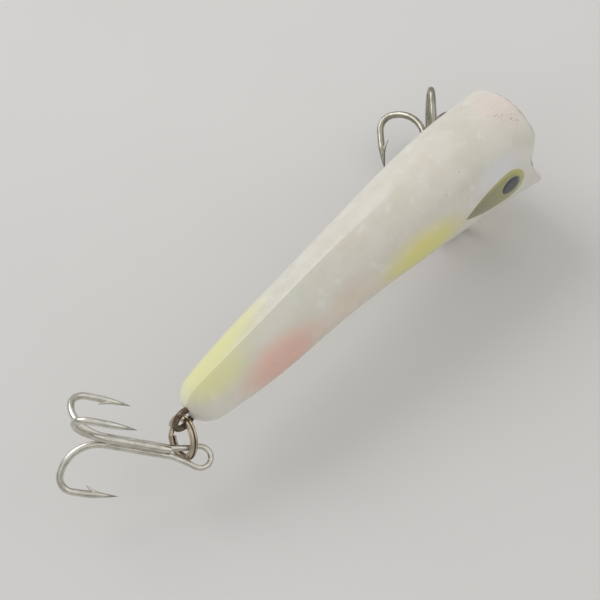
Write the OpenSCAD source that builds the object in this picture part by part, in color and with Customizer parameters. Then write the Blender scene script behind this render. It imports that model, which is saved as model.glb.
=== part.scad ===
// Topwater popper: a hollow two-piece floating lure with a cupped mouth,
// wire hangers, split rings, two treble hooks, a tail weight and a rattle.
// +X points to the mouth, +Y to the lure's left, +Z to its back.
// The origin is the centre of the line-tie eye.

/* [Body] */
// Length of the body from its tail end to its upper lip
body_len = 76; // [70:1:82]
// Wall thickness of the moulded halves
wall = 1.5; // [1.3:0.1:1.6]
// Length of the rounded tail end
tail_cap = 4.2; // [3:0.1:5]
// Depth of the concave mouth below its upper lip
cup_depth = 8.5; // [7:0.5:9]
// How far the corners of the mouth sit behind the lips
mouth_notch = 2.4; // [1:0.1:3.5]
// How far the whole mouth bows back from its upper and lower lips to its sides
mouth_bow = 0.8; // [0:0.1:1.5]
// Width of the rounded lip around the mouth
lip_w = 1.15; // [0.9:0.05:1.4]

/* [Wire parts] */
// Diameter of the hanger and line-tie wire
hanger_wire = 1.1; // [1:0.05:1.2]
// Inside diameter of the hanger and line-tie eyes
hanger_bore = 2.7; // [2.6:0.1:3]
// Inside diameter of the anchor eye buried in the body
anchor_bore = 1.9; // [1.6:0.1:2.2]

/* [Split rings] */
// Outside diameter of a split ring
ring_od = 7.7; // [7.4:0.1:8]
// Width of the split ring's flattened wire
ring_flat = 1.1; // [0.9:0.05:1.2]
// Thickness of the split ring's wire, wound in two turns
ring_wire = 0.66; // [0.6:0.02:0.7]

/* [Treble hooks] */
// Diameter of the hook wire
hook_wire = 1.2; // [1.1:0.05:1.25]
// Inside diameter of the hook's eye
hook_bore = 2.7; // [2.6:0.1:2.9]
// Distance from the outer end of the eye to the start of the bends
shank_len = 18; // [16:0.1:19]
// Radius of the wide part of each bend
bend_r = 6.2; // [6:0.1:6.8]
// Radius of the tight part of each bend
turn_r = 2.4; // [2:0.1:2.6]
// Length of the straight leg from the bend to the point
leg_len = 7.4; // [6:0.1:7.5]

/* [Weight and rattle] */
// Diameter of the tail weight ball
weight_d = 6; // [5:0.1:6.2]
// Diameter of each rattle ball
rattle_d = 3.2; // [2.8:0.1:3.4]
// Number of rattle balls
rattle_count = 3; // [2:1:3]

/* [Eyes] */
// Length of the teardrop eye plate
eye_len = 13.5; // [11:0.5:14]
// Height of the teardrop eye plate
eye_h = 6.8; // [5:0.1:7.2]
// Diameter of the pupil
pupil_d = 4; // [3:0.1:4.4]

/* [Hidden] */
$fn = 40;

// Clearance of an inlaid piece or a wire in its pocket
gap = 0.05;

// The line-tie eye's centre, from the tail end and above the long axis.
tie_x = body_len - 3.9;
tie_z = -0.5;

// Skin outline, as [fraction of the body length, height or width] at each key station.
back_keys = [[0, 1.75], [0.06, 2.25], [0.21, 4.15], [0.42, 7], [0.6, 8.15], [0.8, 8.95], [1, 8]];
belly_keys = [[0, -6.2], [0.06, -6.6], [0.21, -6.6], [0.43, -6.35], [0.6, -7], [0.78, -8.2], [1, -10.1]];
width_keys = [[0, 3.6], [0.07, 4.7], [0.21, 6], [0.43, 6.7], [0.62, 7.55], [0.78, 8], [1, 8.9]];
// Height of the widest line of the flank.
flank_keys = [[0, -2], [0.21, -1.2], [0.43, 0.2], [0.62, 0.8], [0.8, 0.7], [1, 0]];
// Sharpness of the ridge along the back: 0 is round, 1 a straight-sided roof.
ridge_keys = [[0, 0.45], [0.35, 0.34], [0.6, 0.08], [0.72, 0], [1, 0]];
// Exponents of the section's upper and lower curves: 1 is an ellipse, lower is squarer.
upper_keys = [[0, 1], [0.55, 1], [0.8, 0.85], [1, 1.03]];
lower_keys = [[0, 1], [0.45, 1], [0.8, 0.72], [1, 0.58]];

// Middle and half width, in degrees round the section, of the notch at each mouth corner.
notch_mid = 82;
notch_half = 31;
// Power of the curve that rounds the tail end.
cap_power = 2.15;
// Half height of the mouth, how far the lip stands out past its own middle, the lip's
// middle, and how far behind the lips the hollow ends.
mouth_r = 8.5;
lip_out = lip_w * 0.6;
rim = body_len - lip_out;
lip_back = 6.2;

// Skin facets: steps around half a section, along the body and down the cup.
around = 20;
along = 26;
cup_steps = 5;
cap_steps = 4;

// Hook chains, each in body stations. A chain is its eye centre on the body, the direction
// from there to the ring's centre, from the ring's centre to the hook's eye, along the
// shank, of the single hook, and how far the ring's wire lies from the hook eye's centre
// towards its neck.
belly_chain = [[60.9, 0, -10.25], [0.233, 0.344, -0.909], [-0.421, 0.802, -0.424],
    [0.666, 0.689, 0.285], [-0.106, -0.291, 0.951], 0.0];
tail_chain = [[-0.9, 0, -3.3], [-0.496, -0.313, -0.81], [-0.375, -0.885, -0.277],
    [-0.64, 0.69, 0.338], [0.017, -0.427, 0.904], 1.6];
ring_slack = 0.1;

wire_r = hanger_wire / 2;
eye_r = hanger_bore / 2 + wire_r;
anchor_r = anchor_bore / 2 + wire_r;
// The two wires of a hanger's neck are drawn a little thinner where they lie together.
neck_wire_r = wire_r * 0.88;
// Depth of the flat land pressed round the inside of the line-tie eye.
land = 0.08;
ring_r = (ring_od - ring_flat) / 2;
// The two turns are drawn a little into each other, so that they are one wire.
ring_pitch = ring_wire * 0.94;
// Half angle of the gap at the split, and the facets of the ring's wire.
split = 16;
ring_fn = 24;
hook_r = hook_wire / 2;
hook_eye_r = hook_bore / 2 + hook_r;
// The three shanks lie around the hook's axis with a film of braze between them.
braze_film = 0.1;
bundle_r = (hook_r + braze_film / 2) * 2 / sqrt(3);
// How far the braze stops short of the bends, and lies below the tops of the shanks.
braze_stop = 0.8;
braze_inset = 0.3;
weight_pos = [15.5, 0, -1.4];
rattle_pos = [33, 0, -1.4];
chamber_x = [24, 42];
rib_t = 1;
rattle_play = 0.2;
rail_h = 2.4;
pin_r = 0.8;
pin_spots = [[20.9, -1], [45.6, 1], [52, 2.5]];
anchor_x = 6;
belly_anchor = 5.6;
tie_anchor = 9.5;
// Wall of the blocks that grip the hangers and the weight.
grip = 0.6;
pin_len = 1.5;
pin_root = 0.4;
// Front of the eye plate, its thickness, the pupil's centre and the plate's outer face.
eye_front = 70.6;
eye_t = 0.9;
pupil_pos = [67.5, -0.7];
pupil_t = 0.3;
cheek_y = 7.95;
// Where the three shanks start, from the outer end of the hook's eye, and the length of
// the tapered point, its tip radius and the barb's reach.
neck_z = 6.9;
point_len = leg_len * 0.5;
point_r = 0.07;
barb_out = 0.75;

// ---- Curves and skin ----

// Slope of a key curve at key i.
function key_slope(k, i) =
    let(a = max(i - 1, 0), b = min(i + 1, len(k) - 1))
    (k[b][1] - k[a][1]) / (k[b][0] - k[a][0]);

// Index of the key that starts the stretch holding t.
function key_index(k, t, i = 0) = (i >= len(k) - 2 || t < k[i + 1][0]) ? i : key_index(k, t, i + 1);

// A smooth curve through the keys.
function curve(k, t) =
    let(i = key_index(k, t), d = k[i + 1][0] - k[i][0], u = (t - k[i][0]) / d)
    k[i][1] * (1 + 2 * u) * pow(1 - u, 2) + key_slope(k, i) * d * u * pow(1 - u, 2)
    + k[i + 1][1] * u * u * (3 - 2 * u) - key_slope(k, i + 1) * d * u * u * (1 - u);

// Half section at fraction s: [y, z] at angle a from the back (0) round the left to the belly (180).
function section(s, a, inset = 0) =
    let(w = curve(width_keys, s) - inset, zm = curve(flank_keys, s),
        up = curve(back_keys, s) - inset - zm, down = zm - curve(belly_keys, s) - inset,
        k = curve(ridge_keys, s), eu = curve(upper_keys, s), el = curve(lower_keys, s))
    a <= 90
        ? [w * pow(sin(a), eu), zm + up * (pow(cos(a), eu) - k * sin(a) * cos(a))]
        : [w * pow(sin(a), el), zm - down * pow(-cos(a), el)];

// How far the mouth's edge falls back at angle a: a bow over the upper lip and a notch
// at the corner.
function notch(a) = mouth_bow * pow(sin(a), 2) + (abs(a - notch_mid) < notch_half
    ? mouth_notch * pow(cos((a - notch_mid) * 90 / notch_half), 2) : 0);

// A skin point: section s shrunk by rho about the mouth's centre line, at x before the notch.
function skin(s, a, rho, x, inset) =
    let(p = section(s, a, inset), zc = curve(flank_keys, s), front = pow(max(s - 0.75, 0) / 0.25, 2))
    [x - notch(a) * front * min(rho * 1.15, 1), p[0] * rho, zc + (p[1] - zc) * rho];

// Rounding of the tail end.
function cap(x) = x >= tail_cap ? 1 : pow(1 - pow(1 - x / tail_cap, cap_power), 1 / cap_power);

// One row of skin points from back to belly.
function row(s, rho, x, inset) = [for (j = [0:around]) skin(s, 180 * j / around, rho, x, inset)];

// Stations along the body: the rounded tail end, then even steps to x1.
function stations(x0, x1) = concat(
    [for (i = [1:cap_steps]) x0 + tail_cap * (1 - cos(90 * i / cap_steps))],
    [for (i = [1:along]) x0 + tail_cap + (x1 - x0 - tail_cap) * i / along]);

outer_rows = concat(
    [for (x = stations(0, rim)) row(x / body_len, cap(x), x, 0)],
    [for (a = [45, 90, 135, 180])
        row(1, 1 - lip_w * (1 - cos(a)) / 2 / mouth_r, rim + lip_out * sin(a), 0)],
    [for (i = [1:cup_steps])
        let(a = 90 * i / (cup_steps + 1))
        row(1, (1 - lip_w / mouth_r) * cos(a), rim - (cup_depth - lip_w) * sin(a), 0)]);
inner_rows = concat(
    [for (x = stations(wall, body_len - lip_back)) row(x / body_len, cap(x - wall), x, wall)],
    [for (a = [45, 90, 135, 180])
        row(1 - lip_back / body_len, 1 - 0.02 * a / 180, body_len - lip_back, wall)],
    [for (i = [1:cup_steps])
        let(a = 90 * i / (cup_steps + 1))
        row(1 - lip_back / body_len, 0.97 * cos(a),
            body_len - lip_back - (cup_depth + wall - lip_back) * sin(a), wall)]);

// Closed half shell from rows of outer and inner points and the end points of each.
module half_shell(outer, inner, outer_ends, inner_ends) {
    m = around + 1;
    n = len(outer);
    side = n * m + 2;
    points = concat([outer_ends[0]], [for (r = outer) for (p = r) p], [outer_ends[1]],
        [inner_ends[0]], [for (r = inner) for (p = r) p], [inner_ends[1]]);
    function at(i, j, off) = off + (i < 0 ? 0 : i >= n ? side - 1 : 1 + i * m + j);
    function flip(f, yes) = yes ? [f[0], f[2], f[1]] : f;
    grid = [for (off = [0, side]) each concat(
        [for (j = [0:around - 1])
            flip([at(-1, 0, off), at(0, j + 1, off), at(0, j, off)], off > 0)],
        [for (i = [0:n - 2]) for (j = [0:around - 1]) each [
            flip([at(i, j, off), at(i, j + 1, off), at(i + 1, j + 1, off)], off > 0),
            flip([at(i, j, off), at(i + 1, j + 1, off), at(i + 1, j, off)], off > 0)]],
        [for (j = [0:around - 1])
            flip([at(n, 0, off), at(n - 1, j, off), at(n - 1, j + 1, off)], off > 0)])];
    seam = [for (j = [0, around]) for (i = [-1:n - 1]) each [
        flip([at(i, j, 0), at(i + 1, j, 0), at(i + 1, j, side)], j > 0),
        flip([at(i, j, 0), at(i + 1, j, side), at(i, j, side)], j > 0)]];
    polyhedron(points, concat(grid, seam), convexity = 8);
}

// ---- Frames ----

// Moves a piece modelled in body stations to the lure's own frame.
module placed() {
    translate([-tie_x, 0, -tie_z]) children();
}

function unit(v) = v / norm(v);

// Puts a piece at o with its own Z along z_dir and its own X as near x_dir as it can be.
module oriented(o, z_dir, x_dir) {
    z = unit(z_dir);
    y = unit(cross(z, x_dir));
    x = cross(y, z);
    multmatrix([[x[0], y[0], z[0], o[0]], [x[1], y[1], z[1], o[1]], [x[2], y[2], z[2], o[2]]])
        children();
}

function ring_centre(c) = c[0] + unit(c[1]) * (ring_r - ring_slack);
function hook_eye(c) = ring_centre(c) + unit(c[2]) * ring_r - unit(c[3]) * c[5];

// ---- Body ----

// The moulded half on the lure's left: skin, ribs and bosses, before any pocket.
module half_blank() {
    zc = curve(flank_keys, 0);
    cup_x = rim - (cup_depth - lip_w);
    half_shell(outer_rows, inner_rows,
        [[0, 0, zc], [cup_x, 0, curve(flank_keys, 1)]],
        [[wall, 0, zc], [body_len - cup_depth - wall, 0, curve(flank_keys, 1)]]);
    for (x = chamber_x) rib(x);
    rattle_trough();
    anchor_boss([3.4, anchor_x + 2.9], [-5.7, -0.9], 2);
    anchor_boss([belly_chain[0][0] - 3.3, belly_chain[0][0] + 3.3], [-7.6, -1.2], 3.1);
    anchor_boss([58.6, 66.6], [-3.7, 2.7], 3.1);
    weight_cradle();
    for (p = pin_spots) pin_boss(p);
}

// A block between two stations and two heights that grips a hanger in the closed body.
module anchor_boss(xs, zs, depth) {
    translate([xs[0], 0, zs[0]]) cube([xs[1] - xs[0], depth, zs[1] - zs[0]]);
}

// A bulkhead across the hollow at station x.
module rib(x) {
    outline = [for (j = [0:10]) section(x / body_len, 18 * j, wall / 2)];
    translate([x - rib_t / 2, 0, 0]) rotate([90, 0, 90]) linear_extrude(rib_t) polygon(outline);
}

// Floor and side rail that keep the rattle balls in line.
module rattle_trough() {
    length = chamber_x[1] - chamber_x[0];
    floor_z = rattle_pos[2] - rattle_d / 2 - gap - rib_t;
    rail_y = rattle_d / 2 + rattle_play;
    translate([chamber_x[0], 0, floor_z]) cube([length, rail_y + rib_t, rib_t]);
    translate([chamber_x[0], rail_y, floor_z]) cube([length, rib_t, rail_h]);
}

// Block with half of the weight's pocket, open above the weight's shoulder.
module weight_cradle() {
    half = weight_d / 2 + grip;
    translate([weight_pos[0] - half, 0, weight_pos[2] - half])
        cube([2 * half, half, half + weight_d / 4]);
}

// Post that carries a locating pin or its hole.
module pin_boss(p) {
    reach = curve(width_keys, p[0] / body_len) - wall / 2;
    translate([p[0], 0, p[1]]) rotate([-90, 0, 0]) cylinder(r = 2 * pin_r, h = reach);
}

// Locating pins, standing out of the left half.
module pins(grow) {
    for (p = pin_spots)
        translate([p[0], pin_root, p[1]]) rotate([90, 0, 0])
            cylinder(r = pin_r + grow, h = pin_root + pin_len + 4 * grow);
}

// Pocket for a hanger and for the part of its eye that sinks into the skin.
module hanger_pocket(length) {
    d = hanger_wire + 2 * gap;
    rotate([90, 0, 0]) linear_extrude(d, center = true) difference() {
        union() {
            circle(eye_r + wire_r + gap);
            translate([length, 0]) circle(anchor_r + wire_r + gap);
            translate([0, -wire_r * 2 - gap]) square([length, 4 * wire_r + 2 * gap]);
        }
        translate([length, 0]) circle(anchor_r - wire_r - gap);
    }
}

module all_pockets() {
    translate(tail_chain[0]) hanger_pocket(anchor_x - tail_chain[0][0]);
    translate(belly_chain[0]) rotate([0, -90, 0]) hanger_pocket(belly_anchor);
    translate([tie_x, 0, tie_z]) rotate([0, 0, 180]) hanger_pocket(tie_anchor);
    translate(weight_pos) sphere(d = weight_d + 2 * gap);
}

module body_half(mirrored) {
    difference() {
        mirror([0, mirrored ? 1 : 0, 0]) half_blank();
        all_pockets();
        eye_plate(mirrored ? -1 : 1, gap, wall);
    }
}

module left_body_half() placed() color("ivory") {
    body_half(false);
    pins(0);
}

module right_body_half() placed() color("ivory") difference() {
    body_half(true);
    pins(gap);
}

// ---- Eyes ----

// Teardrop inlay in a cheek, its point toward the tail; grown on all sides and
// carried outward by `out` to make its pocket.
module eye_plate(side, grow, out) {
    round_r = eye_h / 2;
    tip = eye_front - eye_len;
    outline = concat([[tip - 2 * grow, 0]], [for (a = [-105:15:105])
        [eye_front - round_r + (round_r + grow) * cos(a), (round_r + grow) * sin(a)]]);
    translate([0, side * (cheek_y + (out - grow - eye_t) / 2), pupil_pos[1]]) rotate([90, 0, 0])
        linear_extrude(eye_t + grow + out, center = true) polygon(outline);
}

// A pupil, half sunk in its eye plate; grown all round to make its seat.
module pupil(side, grow) {
    translate([pupil_pos[0], side * (cheek_y - pupil_t / 2 - grow), pupil_pos[1]])
        rotate([side * -90, 0, 0]) cylinder(r = pupil_d / 2 + grow, h = pupil_t + grow);
}

module inlay(side) difference() {
    eye_plate(side, 0, 0);
    pupil(side, gap);
}

module left_eye_plate() placed() color("darkkhaki") inlay(1);
module right_eye_plate() placed() color("darkkhaki") inlay(-1);
module left_pupil() placed() color("midnightblue") pupil(1, 0);
module right_pupil() placed() color("midnightblue") pupil(-1, 0);

// ---- Wire parts ----

// Figure-of-eight wire: an open eye at the origin and an anchor eye at +X.
module hanger(length) {
    rotate([90, 0, 0]) rotate_extrude() translate([eye_r, 0]) circle(wire_r);
    translate([length, 0, 0]) rotate([90, 0, 0])
        rotate_extrude() translate([anchor_r, 0]) circle(wire_r);
    for (z = [-1, 1])
        translate([eye_r - wire_r / 2, 0, z * neck_wire_r * 0.9]) rotate([0, 90, 0])
            cylinder(r = neck_wire_r, h = length - eye_r - anchor_r + wire_r);
}

module tail_hanger() placed() color("silver")
    translate(tail_chain[0]) hanger(anchor_x - tail_chain[0][0]);
module belly_hanger() placed() color("silver")
    translate(belly_chain[0]) rotate([0, -90, 0]) hanger(belly_anchor);

// The line tie's eye has a flat land pressed round its inside.
module line_tie() placed() color("silver")
    translate([tie_x, 0, tie_z]) rotate([0, 0, 180]) difference() {
        hanger(tie_anchor);
        rotate([90, 0, 0]) cylinder(r = hanger_bore / 2 + land, h = 2 * hanger_wire, center = true);
    }

// ---- Weight and rattle ----

module tail_weight() placed() color("dimgray") translate(weight_pos) sphere(d = weight_d);

module rattle_balls() placed() color("lightsteelblue")
    for (i = [0:rattle_count - 1])
        translate(rattle_pos + [(i - (rattle_count - 1) / 2) * (rattle_d + gap), 0, 0])
            sphere(d = rattle_d);

// ---- Split rings ----

// The flattened wire, square with rounded edges.
module ring_section() {
    half = (ring_flat - ring_wire) / 2;
    square([2 * half, ring_wire], center = true);
    for (e = [-1, 1]) translate([e * half, 0]) circle(d = ring_wire * 0.98, $fn = ring_fn);
}

// Two turns of wire, one on the other, joined by the crossing at the split.
module split_ring() {
    for (z = [-0.5, 0.5])
        translate([0, 0, z * ring_pitch]) rotate([0, 0, split])
            rotate_extrude(angle = 360 - 2 * split) translate([ring_r, 0]) ring_section();
    hull() for (e = [-1, 1])
        rotate([0, 0, e * (split + 2)]) translate([ring_r, 0, e * ring_pitch / 2])
            sphere(d = ring_wire * 0.96, $fn = ring_fn);
}

module placed_ring(chain) {
    normal = cross(chain[1], chain[2]);
    oriented(ring_centre(chain), normal, cross(chain[1], normal)) split_ring();
}

module belly_split_ring() placed() color("gray") placed_ring(belly_chain);
module tail_split_ring() placed() color("gray") placed_ring(tail_chain);

// ---- Treble hooks ----

// One hook arm in the X-Z plane: shank from z0, two-radius bend, leg, barb and point.
module hook_arm(z0) {
    translate([0, 0, z0]) cylinder(r = hook_r, h = shank_len - z0);
    translate([bend_r, 0, shank_len]) rotate([90, 0, 0]) rotate([0, 0, 90])
        rotate_extrude(angle = 90) translate([bend_r, 0]) circle(hook_r);
    translate([bend_r, 0, shank_len + bend_r - turn_r]) rotate([90, 0, 0])
        rotate_extrude(angle = 90) translate([turn_r, 0]) circle(hook_r);
    translate([bend_r + turn_r, 0, shank_len + bend_r - turn_r - leg_len]) {
        translate([0, 0, point_len]) cylinder(r = hook_r, h = leg_len - point_len);
        cylinder(r1 = point_r, r2 = hook_r, h = point_len);
        translate([-hook_r, 0, point_len]) rotate([90, 0, 0]) linear_extrude(hook_r, center = true)
            polygon([[hook_r / 2, -barb_out / 2], [hook_r / 2, hook_wire], [-barb_out, 2.4 * barb_out]]);
    }
}

// Eye with the two legs that close onto the shanks at z = neck.
module hook_eye_wire(neck) {
    half = hook_r + braze_film / 2;
    reach = [half, neck - hook_eye_r - hook_r];
    to_tangent = acos(hook_eye_r / norm(reach)) + atan2(reach[0], reach[1]);
    touch = [hook_eye_r * sin(to_tangent), hook_eye_r * cos(to_tangent)];
    translate([0, 0, hook_eye_r + hook_r]) {
        rotate([90, 0, 90]) rotate([0, 0, 90 + to_tangent])
            rotate_extrude(angle = 360 - 2 * to_tangent) translate([hook_eye_r, 0]) circle(hook_r);
        for (side = [-1, 1]) {
            leg = [0, side * (half - touch[0]), reach[1] - touch[1]];
            oriented([0, side * touch[0], touch[1]], leg, [1, 0, 0])
                cylinder(r = hook_r * 0.97, h = norm(leg));
            translate([0, side * touch[0], touch[1]]) sphere(hook_r * 1.03);
            translate([0, side * half, reach[1]]) sphere(hook_r * 1.03);
        }
    }
}

module double_hook() {
    for (a = [120, 240]) rotate([0, 0, a]) translate([bundle_r, 0, 0]) hook_arm(neck_z);
    translate([-bundle_r / 2, 0, 0]) hook_eye_wire(neck_z);
}

module single_hook() {
    translate([bundle_r, 0, 0]) hook_arm(neck_z + hook_r);
}

// Braze that fills the grooves between the three shanks.
module braze() {
    translate([0, 0, neck_z + hook_wire])
        linear_extrude(shank_len - neck_z - hook_wire - braze_stop) difference() {
            circle(hook_r + bundle_r - braze_inset);
            for (a = [0, 120, 240]) rotate(a) translate([bundle_r, 0]) circle(hook_r);
        }
}

// Puts a treble on its chain: its own Z runs down the shank, its own X to the single hook.
module placed_treble(chain) {
    shank = unit(chain[3]);
    single = unit(chain[4] - (chain[4] * shank) * shank);
    origin = hook_eye(chain) - shank * (hook_eye_r + hook_r) + single * bundle_r / 2;
    oriented(origin, shank, single) children();
}

module belly_treble_double_hook() placed() color("silver") placed_treble(belly_chain) double_hook();
module belly_treble_single_hook() placed() color("silver") placed_treble(belly_chain) single_hook();
module belly_treble_braze() placed() color("tan") placed_treble(belly_chain) braze();
module tail_treble_double_hook() placed() color("silver") placed_treble(tail_chain) double_hook();
module tail_treble_single_hook() placed() color("silver") placed_treble(tail_chain) single_hook();
module tail_treble_braze() placed() color("tan") placed_treble(tail_chain) braze();

left_body_half();
right_body_half();
left_eye_plate();
right_eye_plate();
left_pupil();
right_pupil();
line_tie();
belly_hanger();
tail_hanger();
tail_weight();
rattle_balls();
belly_split_ring();
tail_split_ring();
belly_treble_double_hook();
belly_treble_single_hook();
belly_treble_braze();
tail_treble_double_hook();
tail_treble_single_hook();
tail_treble_braze();
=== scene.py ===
"""Looks of the topwater popper: smooth skins, inlaid eyes, wound rings and swept treble
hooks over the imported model, in the same frame, with procedural paint and metal."""
import math

import bpy
import numpy as np
from mathutils import Matrix, Vector


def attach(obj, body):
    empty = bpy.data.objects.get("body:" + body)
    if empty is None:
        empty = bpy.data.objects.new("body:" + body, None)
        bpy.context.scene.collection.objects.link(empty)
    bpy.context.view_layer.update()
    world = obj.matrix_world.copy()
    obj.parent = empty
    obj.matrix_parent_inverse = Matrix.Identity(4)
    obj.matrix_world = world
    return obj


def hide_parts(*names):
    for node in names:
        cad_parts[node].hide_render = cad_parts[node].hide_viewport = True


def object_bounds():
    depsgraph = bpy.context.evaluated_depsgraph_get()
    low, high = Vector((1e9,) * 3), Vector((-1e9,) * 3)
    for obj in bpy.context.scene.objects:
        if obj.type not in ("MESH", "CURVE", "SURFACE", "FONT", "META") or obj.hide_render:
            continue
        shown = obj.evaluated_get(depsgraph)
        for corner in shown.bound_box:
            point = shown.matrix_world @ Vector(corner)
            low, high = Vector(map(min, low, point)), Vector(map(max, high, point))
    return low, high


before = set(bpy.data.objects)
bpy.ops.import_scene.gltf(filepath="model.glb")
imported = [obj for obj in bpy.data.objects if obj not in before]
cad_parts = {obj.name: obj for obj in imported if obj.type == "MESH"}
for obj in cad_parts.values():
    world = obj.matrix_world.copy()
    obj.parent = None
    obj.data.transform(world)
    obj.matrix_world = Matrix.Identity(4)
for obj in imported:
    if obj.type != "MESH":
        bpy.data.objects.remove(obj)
cad_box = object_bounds()

MM = 0.001

# ---- The part's own sizes, in mm, measured from the tail end ("stations") ----

BODY_LEN, WALL, TAIL_CAP, CAP_POWER, CUP_DEPTH = 76.0, 1.5, 4.2, 2.15, 8.5
MOUTH_R, MOUTH_BOW, MOUTH_NOTCH, NOTCH_MID, NOTCH_HALF = 8.5, 0.8, 2.4, 82, 31
LIP_W, LIP_BACK = 1.15, 6.2
LIP_OUT = LIP_W * 0.6
RIM = BODY_LEN - LIP_OUT
# Share of the body past which the mouth's notch begins to draw the skin back.
NOTCH_FROM = 0.75
TIE = Vector((BODY_LEN - 3.9, 0, -0.5))
WIRE_R, EYE_R, ANCHOR_R = 0.55, 1.9, 1.5
RING_FLAT, RING_WIRE, RING_OD = 1.1, 0.66, 7.7
RING_R = (RING_OD - RING_FLAT) / 2
RING_PITCH = RING_WIRE * 0.94
RING_SLACK = 0.1
HOOK_R, HOOK_EYE_R, NECK_Z = 0.6, 1.95, 6.9
SHANK, BEND_R, TURN_R, LEG = 18.0, 6.2, 2.4, 7.4
BUNDLE_R = (HOOK_R + 0.05) * 2 / math.sqrt(3)
# The treble's eye loop, its wire hammered thinner, and the half angle where it opens.
LOOP_R, LOOP_WIRE_R, LOOP_OPEN = 1.86, 0.48, 52
# A hook's point: how far it leans inward, the length ground to a taper, and its tip.
POINT_LEAN, POINT_TAPER, POINT_R = 0.5, 4.3, 0.035
# Centre line of a barb, (inward, up) from the hook's point, and its radii at the ends.
BARB = ((-0.2, 2.5), (-0.38, 3.2), (-0.62, 3.9), (-0.92, 4.5), (-1.22, 5.0), (-1.5, 5.4))
BARB_TIP_R, BARB_ROOT_R = 0.03, 0.42
EYE_FRONT, EYE_LEN, EYE_H, PUPIL_D = 70.6, 13.5, 6.8, 4.0
PUPIL_X, PUPIL_Z = 67.5, -0.7
# How far the eye plate and the pupil stand out of the skin, and how far they sit in it.
EYE_RISE, EYE_SEAT, LENS_RISE, LENS_SEAT = 0.1, 0.35, 0.26, 0.2
ANCHOR_X, BELLY_ANCHOR, TIE_ANCHOR = 6.0, 5.6, 9.5
# Hook chains: eye centre on the body, direction to the ring's centre, from there to the
# hook's eye, along the shank, of the single hook, and the ring wire's place in the eye.
BELLY = [(60.9, 0, -10.25), (0.233, 0.344, -0.909), (-0.421, 0.802, -0.424),
         (0.666, 0.689, 0.285), (-0.106, -0.291, 0.951), 0.0]
TAIL = [(-0.9, 0, -3.3), (-0.496, -0.313, -0.81), (-0.375, -0.885, -0.277),
        (-0.64, 0.69, 0.338), (0.017, -0.427, 0.904), 1.6]

# Skin outline: (fraction of the body length, height or width) at each key station.
BACK = [(0, 1.75), (.06, 2.25), (.21, 4.15), (.42, 7), (.6, 8.15), (.8, 8.95), (1, 8)]
BELLY_LINE = [(0, -6.2), (.06, -6.6), (.21, -6.6), (.43, -6.35), (.6, -7), (.78, -8.2), (1, -10.1)]
WIDTH = [(0, 3.6), (.07, 4.7), (.21, 6), (.43, 6.7), (.62, 7.55), (.78, 8), (1, 8.9)]
FLANK = [(0, -2), (.21, -1.2), (.43, .2), (.62, .8), (.8, .7), (1, 0)]
# Sharpness of the ridge along the back, and exponents of the section's two curves.
RIDGE = [(0, .45), (.35, .34), (.6, .08), (.72, 0), (1, 0)]
UPPER = [(0, 1), (.55, 1), (.8, .85), (1, 1.03)]
LOWER = [(0, 1), (.45, 1), (.8, .72), (1, .58)]


# ---- Mesh helpers ----

def new_object(name, points, faces, material, body, node, smooth_angle=None):
    """A piece from points in stations, in mm, riding on a CAD body in place of a node."""
    mesh = bpy.data.meshes.new(name)
    mesh.from_pydata([tuple((Vector(p) - TIE) * MM) for p in points], [], faces)
    mesh.validate()
    mesh.update()
    for polygon in mesh.polygons:
        polygon.use_smooth = True
    if smooth_angle is not None:
        mesh.set_sharp_from_angle(angle=math.radians(smooth_angle))
    mesh.materials.append(material)
    piece = bpy.data.objects.new(name, mesh)
    bpy.context.scene.collection.objects.link(piece)
    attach(piece, body)
    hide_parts(node)
    return piece


def set_attribute(piece, name, values):
    """One number for each point, for the materials to read."""
    layer = piece.data.attributes.new(name, "FLOAT", "POINT")
    layer.data.foreach_set("value", np.array(values, dtype=np.float32))


def axes(origin, z_dir, x_dir):
    """Matrix of a frame at origin with Z along z_dir and X as near x_dir as it can be."""
    z = Vector(z_dir).normalized()
    y = z.cross(Vector(x_dir)).normalized()
    x = y.cross(z)
    m = Matrix((x, y, z)).transposed().to_4x4()
    m.translation = Vector(origin)
    return m


def sweep(path, radii, sides, closed=False):
    """Points and faces of a round wire swept on a path, of one radius or one for each point."""
    n = len(path)
    if not hasattr(radii, "__len__"):
        radii = [radii] * n
    path = [Vector(p) for p in path]
    tangents = []
    for i in range(n):
        a = path[(i - 1) % n] if closed else path[max(i - 1, 0)]
        b = path[(i + 1) % n] if closed else path[min(i + 1, n - 1)]
        tangents.append((b - a).normalized())
    normal = tangents[0].orthogonal().normalized()
    points = []
    for i, (p, t) in enumerate(zip(path, tangents)):
        normal = (normal - normal.dot(t) * t).normalized()
        side = t.cross(normal)
        for k in range(sides):
            a = 2 * math.pi * k / sides
            points.append(p + (normal * math.cos(a) + side * math.sin(a)) * radii[i])
    faces = []
    for i in range(n if closed else n - 1):
        j = (i + 1) % n
        for k in range(sides):
            m = (k + 1) % sides
            faces.append((i * sides + k, i * sides + m, j * sides + m, j * sides + k))
    if not closed:
        faces.append(tuple(reversed(range(sides))))
        faces.append(tuple(range((n - 1) * sides, n * sides)))
    return points, faces


def merge(*parts):
    """Joins (points, faces) lists into one."""
    points, faces = [], []
    for p, f in parts:
        faces += [tuple(i + len(points) for i in face) for face in f]
        points += p
    return points, faces


def resample(path, step):
    """Even points along a polyline."""
    path = [Vector(p) for p in path]
    lengths = [0.0]
    for a, b in zip(path, path[1:]):
        lengths.append(lengths[-1] + (b - a).length)
    count = max(2, round(lengths[-1] / step))
    out, j = [], 0
    for i in range(count + 1):
        d = lengths[-1] * i / count
        while j < len(path) - 2 and lengths[j + 1] < d:
            j += 1
        u = (d - lengths[j]) / max(lengths[j + 1] - lengths[j], 1e-9)
        out.append(path[j].lerp(path[j + 1], min(max(u, 0), 1)))
    return out


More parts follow.
